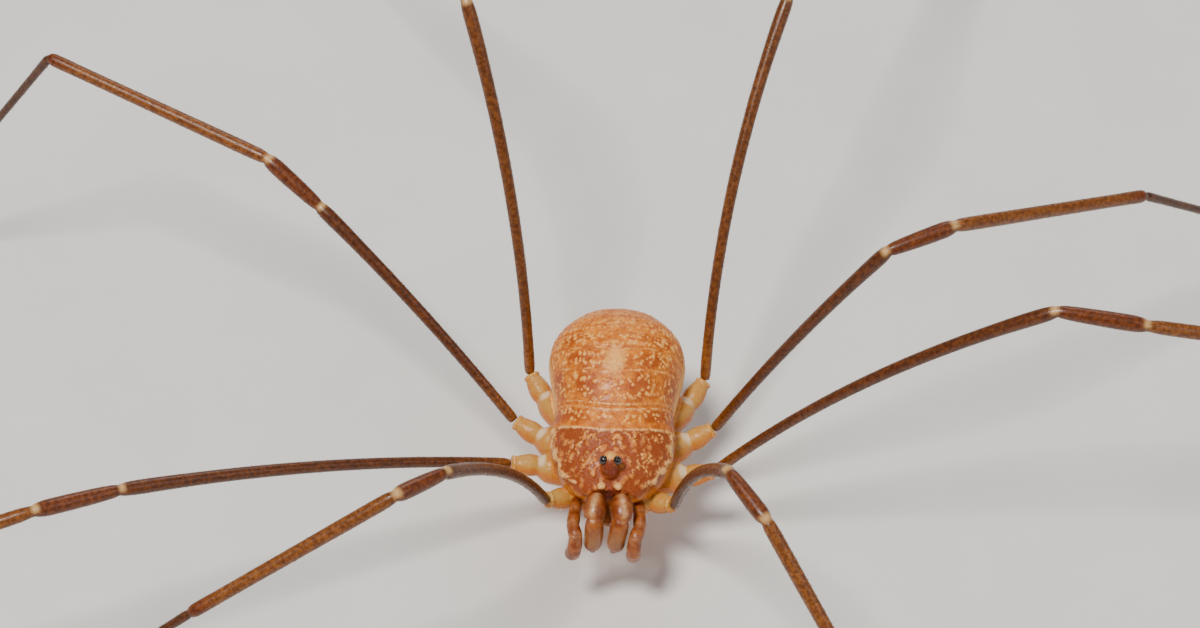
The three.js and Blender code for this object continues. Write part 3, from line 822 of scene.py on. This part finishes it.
def hip_rings(r):
    """The raised rings at the ends of the trochanters."""
    cover = np.zeros(len(r.points))
    for side in SIDES:
        for number in NUMBERS:
            _, hip, lean = trochanter_ends(side, number)
            apart = np.linalg.norm(r.points - hip, axis=1)
            cover = np.maximum(cover, bell((r.points - hip) @ lean, -0.12, 0.05) * (apart < 0.45))
    return cover * r.limbs


def wine_red_and_shade(r):
    """The dark front of the eye mound and its foot, and painted shade under the carapace's front edge."""
    x, y, z = r.points.T
    mound_front = 0.8 * r.mound * (1 - rise(-1.6, -1.34, y)) * (0.5 + 0.5 * rise(4.6, 4.9, z))
    mound_foot = 0.6 * r.shield * bell(x, 0, 0.36) * bell(y, -1.6, 0.18)
    # Painted shade under the carapace's front edge, between the chelicerae
    under_edge = 0.9 * (1 - rise(-1.86, -1.78, y)) * bell(x, 0, 0.5) * (1 - rise(4.28, 4.4, z))
    return np.clip(mound_front + mound_foot + under_edge * (0.3 + 0.7 * rise(3.6, 3.9, z)), 0, 1)


def body_skin():
    mesh, points, normals = melted("body_skin", body_parts(), BODY_VOXEL, 5)
    r = Regions(points)
    edges = [shield_edge(r), free_plate_edges(r), shield_margin(r)]
    edges += [plate_edge(r, at) for at in PLATE_EDGES[1:]]
    spots, raised = spread(points, dots())
    rings = hip_rings(r)

    on_edges = np.max([cream for cream, _ in edges], axis=0) * r.dorsal
    on_dots = 0.6 * spots * (r.station < SHIELD_REAR) * rise(0.72, 0.98, spots)
    on_rings = 0.8 * rings * (0.6 + 0.4 * np.sin(points[:, 0] * 60 + points[:, 2] * 47))
    cream = np.max([np.maximum(on_edges, on_dots) * r.shell, lamella_caps(r), on_rings], axis=0)
    masks = dict(
        cream=np.clip(cream, 0, 1),
        peach=np.clip(spots * r.shell * (1.1 - 0.35 * r.shield), 0, 1),
        rust=rusty(r),
        shield=np.maximum(r.shield * r.dorsal, r.mound),
        amber=np.clip(r.limbs + 0.5 * (1 - r.dorsal) * (r.station < CUT), 0, 1),
        # lit: painted light, stronger on faces that turn upwards
        lit=0.85 * rise(0.1, 0.75, normals[:, 2]),
        pale=pale(r),
        pearl_and_highlight=pearl_and_highlight_cover(r),
        wine_and_shade=wine_red_and_shade(r),
    )
    ridges = sum(height for _, height in edges) * r.dorsal
    points = points + normals * ((ridges + raised) * r.shell + 0.012 * rings)[:, None]
    nodes = ["prosoma", "opisthosoma", "ocularium"]
    nodes += [f"trochanter_{side}_{number}" for side in SIDES for number in NUMBERS]
    finish_piece("body_skin", mesh, points, masks, BODY, nodes)


# Eyes
LENS_SIZE = (0.13, 0.145, 0.16)
LENS_TILT = 0.35
LENS_INWARD = 0.01


def eyes():
    for side, sign in SIDES.items():
        name = f"lens_{side}"
        points, faces = ball((0, 0, 0), LENS_SIZE, 40)
        tilt = np.array(Matrix.Rotation(-LENS_TILT * sign, 3, "Y"))
        points = points @ tilt.T + mirrored(EYE_AT, side) - (LENS_INWARD * sign, 0, 0)
        finish_piece(name, mesh_of(name, points, faces), points, {}, LENS, [f"eye_{side}"])


# Mouthparts, as they are on the left before they swing aside
CHELICERA = dict(
    basal=[(0.38, -1.9, 3.86), (0.4, -2.3, 3.98), (0.43, -2.6, 3.82)],
    hand=[(0.4, -2.66, 3.95), (0.36, -2.8, 3.3), (0.36, -2.72, 2.55)],
    fixed=[(0.38, -2.76, 2.7), (0.34, -2.72, 2.4), (0.25, -2.62, 2.22)],
    moving=[(0.32, -2.56, 2.75), (0.28, -2.51, 2.45), (0.23, -2.46, 2.24)],
)
CHELICERA_RADII = dict(
    basal=[(0, 0.28), (0.4, 0.335), (0.85, 0.32), (1, 0.27)],
    hand=[(0, 0.2), (0.15, 0.28), (0.6, 0.29), (0.85, 0.265), (1, 0.14)],
    fixed=[(0, 0.12), (1, 0.035)],
    moving=[(0, 0.1), (1, 0.035)],
)
HIGHLIGHT_LINE = [(-2.6, 0.5), (-1.9, 0.36)]  # station and distance from the middle of the painted highlight along the top of a basal segment
PALP_JOINTS = [
    (0.95, -1.55, 3.25), (0.98, -1.98, 3.34), (1.02, -2.56, 3.42), (0.9, -2.94, 3.36), (0.9, -3.12, 2.92),
    (0.94, -2.94, 2.48),
]
PALP_RADII = [0.18, 0.19, 0.2, 0.21, 0.225]
PALP_OVERLAP = 0.06  # how far the segments of a palp reach past their joints
PALP_CLAW = (-0.04, 0.18, -0.1)
JAW_TOP, JAW_TIP, JAW_SWING = 4.1, 2.0, -0.2
MOUTH_VOXEL = 0.022
MOUTH_SIDES = 20


def hung(point, side):
    """A point of a jaw or palp, which hang a little to one side."""
    p = mirrored(point, side)
    return p + np.array([JAW_SWING * min(1, max(0, (JAW_TOP - p[2]) / (JAW_TOP - JAW_TIP))), 0, 0])


def curve_through(points, count):
    """Points of a smooth curve through three points."""
    a, b, c = (np.array(p, float) for p in points)
    control = 2 * b - (a + c) / 2
    t = np.linspace(0, 1, count)[:, None]
    return (1 - t) ** 2 * a + 2 * t * (1 - t) * control + t**2 * c


def chelicera_part(side, key, count=16):
    path = [hung(p, side) for p in curve_through(CHELICERA[key], count)]
    return tube(path, along(CHELICERA_RADII[key], np.linspace(0, 1, count)), MOUTH_SIDES, hanging=True)


def chelicera(side):
    name = f"chelicera_skin_{side}"
    mesh, points, normals = melted(name, [chelicera_part(side, key) for key in CHELICERA], MOUTH_VOXEL, 3)
    from_highlight_line = np.abs(points[:, 0]) - along(HIGHLIGHT_LINE, points[:, 1])
    masks = dict(
        # pale: a painted highlight, a whitish streak along the top of each basal segment on faces that turn
        # upwards
        pale=0.6 * bell(from_highlight_line, 0, 0.1) * rise(0.3, 0.8, normals[:, 2]) * rise(3.9, 4.1, points[:, 2]),
        golden=0.6 * bell(points[:, 2], 3.3, 0.35),
        dark=1 - rise(2.2, 2.42, points[:, 2]),
    )
    finish_piece(name, mesh, points, masks, MOUTH, [f"chelicera_{side}"])


def palp_segment(side, radius, a, b):
    a, b = hung(a, side), hung(b, side)
    reach = unit(b - a) * PALP_OVERLAP
    profile = [(0, radius * 0.93), (0.25, radius), (0.75, radius + 0.015), (1, radius * 0.84)]
    radii = along(profile, np.linspace(0, 1, 12))
    return tube(steps(a - reach, b + reach, 12), radii, MOUTH_SIDES, hanging=True)


def palp_claw(side):
    tip = hung(PALP_JOINTS[-1], side)
    return tube(steps(tip, tip + mirrored(PALP_CLAW, side), 6), np.linspace(0.05, 0.02, 6), 10, hanging=True)


def pedipalp(side):
    name = f"pedipalp_skin_{side}"
    parts = [palp_segment(side, *segment) for segment in zip(PALP_RADII, PALP_JOINTS, PALP_JOINTS[1:])]
    mesh, points, normals = melted(name, [*parts, palp_claw(side)], MOUTH_VOXEL, 3)
    distances = [np.linalg.norm(points - hung(joint, side), axis=1) for joint in PALP_JOINTS[1:5]]
    joints = np.max([bell(distance, 0.12, 0.09) for distance in distances], axis=0)
    masks = dict(pale=0.22 * joints * rise(-0.2, 0.4, normals[:, 2]), dark=1 - rise(2.02, 2.12, points[:, 2]))
    finish_piece(name, mesh, points, masks, MOUTH, [f"pedipalp_{side}"])


# Legs
RING_STEP = 0.06
LEG_SIDES = 18
SEGMENTS = ["femur", "patella", "tibia", "metatarsus", "tarsus"]
PROFILES = dict(
    femur=[
        (0, 0.13), (0.015, 0.165), (0.1, 0.165), (0.3, 0.17), (0.8, 0.2), (0.95, 0.22), (0.985, 0.2),
        (1, 0.16),
    ],
    patella=[(0, 0.16), (0.08, 0.2), (0.35, 0.235), (0.8, 0.25), (0.93, 0.22), (1, 0.165)],
    tibia=[
        (0, 0.165), (0.03, 0.205), (0.15, 0.215), (0.5, 0.205), (0.85, 0.2), (0.95, 0.205), (0.985, 0.19),
        (1, 0.125),
    ],
    metatarsus=[(0, 0.12), (0.02, 0.145), (0.1, 0.135), (0.6, 0.12), (0.97, 0.105), (1, 0.08)],
    tarsus=[(0, 0.08), (0.03, 0.085), (0.4, 0.07), (0.9, 0.055), (1, 0.04)],
)
ARTICLE = 0.34  # length of one of the many short pieces of a tarsus
PINCH = 0.14  # how much thinner a tarsus is between them
SMOOTHED_OVER = 9  # rings over which a joint's kink is rounded off
GOLDEN = {1: 0.1, 2: 0.1, 3: 0.05, 4: 0.4}  # how light the femora are
GOLDEN_ROOT = 2.5  # over this length from the hip the femora behind the first are lighter
UP = np.array([0, 0, 1.0])


def leg_joints(side, number):
    """The joints of a leg, from its hip to its ankle, and how steeply the metatarsus drops."""
    pair, pose = PAIRS[number], POSE[f"{side}_{number}"]
    joints = [mirrored(pair["hip"], side)]
    for key in SEGMENTS[:3]:
        joints.append(joints[-1] + direction(side, pose[key]) * pair[key])
    drop = math.asin((joints[-1][2] - ANKLE_HEIGHT) / pair["metatarsus"])
    joints.append(joints[-1] + direction(side, (pose["foot"], -math.degrees(drop))) * pair["metatarsus"])
    return joints, drop


def even_shares(length):
    count = round(length / RING_STEP)
    return (np.arange(count) + 0.5)[:, None] / count


def femur_path(side, pose, hip, knee, t):
    """The femur, which arches up and inwards between its joints."""
    way = direction(side, pose["femur"])
    over = unit(UP - way * way[2])
    inward = np.array([-SIDES[side], 0, 0.0])
    inward = unit(inward - way * (inward @ way))
    control = (hip + knee) / 2 + over * 2 * pose["bow"][0] + inward * 2 * pose["bow"][1]
    return (1 - t) ** 2 * hip + 2 * t * (1 - t) * control + t**2 * knee


def tarsus_path(side, pose, length, ankle, drop):
    """The tarsus, which comes down on the floor in an arc and then curls along it."""
    t = even_shares(length)
    s = t * length
    arc_radius = (ANKLE_HEIGHT - SOLID_FOOT) / (1 - math.cos(drop))
    turned = np.maximum(0, drop - s / arc_radius)
    away = arc_radius * (math.sin(drop) - np.sin(turned)) + np.maximum(0, s - arc_radius * drop)
    height = SOLID_FOOT + arc_radius * (1 - np.cos(turned))
    # The true foot is thinner than the solid one, so it lies lower
    lowered = SOLID_FOOT - along(PROFILES["tarsus"], t)
    height -= lowered * (1 - (height - SOLID_FOOT) / (ANKLE_HEIGHT - SOLID_FOOT))
    forward = direction(side, (pose["foot"], 0))
    backward = direction(side, (pose["foot"] + 90, 0))
    bend = math.radians(pose["curl"]) / length
    on_floor = forward * np.sin(bend * away) / bend + backward * (1 - np.cos(bend * away)) / bend
    return np.array([ankle[0], ankle[1], 0]) + on_floor + UP * height


def smoothed(path):
    """The path with the kinks at its joints rounded off."""
    path = path.copy()
    window = np.hanning(SMOOTHED_OVER)
    window /= window.sum()
    for axis in range(3):
        padded = np.pad(path[:, axis], SMOOTHED_OVER // 2, mode="reflect", reflect_type="odd")
        path[:, axis] = np.convolve(padded, window, mode="valid")
    return path


def leg_path(side, number):
    """The leg's centre line in even steps, with each point's segment and share along it."""
    pair, pose = PAIRS[number], POSE[f"{side}_{number}"]
    joints, drop = leg_joints(side, number)
    pieces = [femur_path(side, pose, *joints[:2], even_shares(pair["femur"]))]
    for a, b, key in zip(joints[1:], joints[2:], SEGMENTS[1:4]):
        pieces.append(a + (b - a) * even_shares(pair[key]))
    pieces.append(tarsus_path(side, pose, pair["tarsus"], joints[-1], drop))
    segment = np.concatenate([[i] * len(piece) for i, piece in enumerate(pieces)])
    share = np.concatenate([(np.arange(len(piece)) + 0.5) / len(piece) for piece in pieces])
    return smoothed(np.vstack(pieces)), segment, share


def leg_radii(number, segment, share):
    radii = np.zeros(len(share))
    for i, key in enumerate(SEGMENTS):
        radii = np.where(segment == i, along(PROFILES[key], share), radii)
    distance = share * PAIRS[number]["tarsus"]
    pinch = PINCH * np.abs(np.cos(math.pi * distance / ARTICLE)) ** 6
    return radii * np.where(segment == 4, 1 - pinch, 1)


# Short spines in rows along the thick segments, and fine hairs on the thin ones
SPINES = dict(rows=8, chance=0.26, length=(0.045, 0.07), width=0.016, spread=0.8)
HAIRS = dict(rows=5, chance=0.34, length=(0.07, 0.12), width=0.008, spread=0.7)
BRISTLE_ROOT = 0.93  # share of the leg's radius at which a bristle starts
BARE_ENDS = 4  # rings without bristles at each end of a leg
LOWEST_TIP = 0.01  # bristles that would reach below this height are left out
BAKED_PATCH = 0.003  # size of one bristle on the bake


def bristle(root, out, ahead, kind, length):
    """The three corners of a bristle's foot, and its tip."""
    lean = unit(out * kind["spread"] + ahead)
    wide = unit(np.cross(lean, out))
    deep = np.cross(wide, lean)
    corners = [wide * math.cos(a) + deep * math.sin(a) for a in (0, 2.1, 4.2)]
    return [root + corner * kind["width"] for corner in corners] + [root + lean * length]


def bristle_rows(path, segment, radii):
    """All bristles of a leg, and where each lies along it and round it, from 0 to 1."""
    ahead = unit(np.gradient(path, axis=0))
    across = unit(np.cross(ahead, [0, 0, 1]))
    over = np.cross(across, ahead)
    placed, marks = [], []
    for i in range(BARE_ENDS, len(path) - BARE_ENDS):
        kind = SPINES if segment[i] < 3 else HAIRS
        for row in range(kind["rows"]):
            if random.random() > kind["chance"]:
                continue
            angle = 2 * math.pi * (row + random.normal(0, 0.08) + 0.5) / kind["rows"]
            out = across[i] * math.cos(angle) + over[i] * math.sin(angle)
            root = path[i] + out * radii[i] * BRISTLE_ROOT
            corners = bristle(root, out, ahead[i], kind, random.uniform(*kind["length"]))
            if corners[-1][2] < LOWEST_TIP:
                continue
            placed += corners
            marks.append((i / len(path), row / kind["rows"] + 0.05))
    return np.array(placed), np.array(marks)


def bristles(name, path, segment, radii):
    points, marks = bristle_rows(path, segment, radii)
    corners = ((0, 1, 3), (1, 2, 3), (2, 0, 3), (2, 1, 0))
    faces = []
    for start in range(0, len(points), 4):
        faces += [tuple(start + corner for corner in face) for face in corners]
    mesh = mesh_of(name, points, faces)
    baked = mesh.uv_layers.new(name="OFBake")
    patch = np.array([(0, 0), (1, 0), (0, 1), (1, 1)]) * BAKED_PATCH
    vertex = np.empty(len(mesh.loops), np.int32)
    mesh.loops.foreach_get("vertex_index", vertex)
    spots = marks[vertex // 4] * 0.99 + patch[vertex % 4]
    baked.data.foreach_set("uv", spots.astype(np.float32).ravel())
    finish_piece(name, mesh, points, {}, BRISTLE, [])


def leg_masks(number, part, share, top):
    """Where a leg is pale, golden, red or dusky, by segment, share along it and how far up it faces."""
    length = np.array([PAIRS[number][key] for key in SEGMENTS])[part]
    from_start, to_end = share * length, (1 - share) * length
    femur, patella, tibia, metatarsus, tarsus = (part == i for i in range(5))
    knees = (femur | patella) * (1 - rise(0.05, 0.22, to_end))
    knees = knees + (patella | tibia) * (1 - rise(0.0, 0.06, from_start))
    root = 0.6 * (1 - rise(0, GOLDEN_ROOT, from_start)) * (number > 1)
    return dict(
        pale=np.clip(knees * rise(0.1, 0.75, top), 0, 1) * 0.85,
        golden=np.clip(femur * (GOLDEN[number] + root) + 0.75 * tibia + 0.35 * patella, 0, 1),
        red=np.clip(patella * 0.6 + tibia * rise(1.2, 0.2, to_end), 0, 1) * 0.8,
        dusky=metatarsus * 0.7 + tarsus * 0.9,
    )


def leg(side, number):
    path, segment, share = leg_path(side, number)
    radii = leg_radii(number, segment, share)
    points, faces = tube(path, radii, LEG_SIDES)
    ring = np.repeat(np.arange(len(path)), LEG_SIDES)
    ring = np.concatenate([ring, [0, len(path) - 1]])
    ahead = unit(np.gradient(path, axis=0))
    over = np.cross(unit(np.cross(ahead, [0, 0, 1])), ahead)
    top = np.sum((points - path[ring]) * over[ring], axis=1) / np.maximum(radii[ring], 0.01)
    masks = leg_masks(number, segment[ring], share[ring], top)
    name = f"leg_skin_{side}_{number}"
    nodes = [f"{key}_{side}_{number}" for key in SEGMENTS]
    finish_piece(name, mesh_of(name, points, faces), points, masks, LEG, nodes)
    bristles(f"leg_bristles_{side}_{number}", path, segment, radii)


# The stage
FLOOR_REACH = 0.6
LIGHTS = dict(
    key=dict(offset=(-0.1, -0.1, 0.36), size=0.09, watts=1.65, tint=(1, 0.96, 0.9)),
    fill=dict(offset=(0.3, -0.1, 0.25), size=0.3, watts=0.3, tint=(1, 1, 1)),
    rear=dict(offset=(0.05, 0.35, 0.25), size=0.2, watts=0.35, tint=(1, 1, 1)),
)
WORLD_STRENGTH = 0.2


def add_floor():
    corners = [(x * FLOOR_REACH, y * FLOOR_REACH, 0) for x, y in ((-1, -1), (1, -1), (1, 1), (-1, 1))]
    mesh = mesh_of("floor", corners, [(0, 1, 2, 3)])
    mesh.materials.append(floor_material())
    floor = bpy.data.objects.new("floor", mesh)
    bpy.context.scene.collection.objects.link(floor)


def add_light(name, offset, size, watts, tint):
    data = bpy.data.lights.new(name, "AREA")
    data.shape, data.size, data.energy, data.color = "DISK", size, watts, tint
    light = bpy.data.objects.new(name, data)
    light.location = Vector((LOOK_AT + SHIFT) * MM) + Vector(offset)
    light.rotation_euler = Vector(offset).to_track_quat("Z", "Y").to_euler()
    bpy.context.scene.collection.objects.link(light)


def add_world():
    world = bpy.data.worlds.new("studio")
    world.use_nodes = True
    world.node_tree.nodes["Background"].inputs["Color"].default_value = (1, 1, 1, 1)
    world.node_tree.nodes["Background"].inputs["Strength"].default_value = WORLD_STRENGTH
    bpy.context.scene.world = world


body_skin()
eyes()
for side in SIDES:
    chelicera(side)
    pedipalp(side)
    for number in NUMBERS:
        leg(side, number)
add_floor()
for name, settings in LIGHTS.items():
    add_light(name, **settings)
add_world()
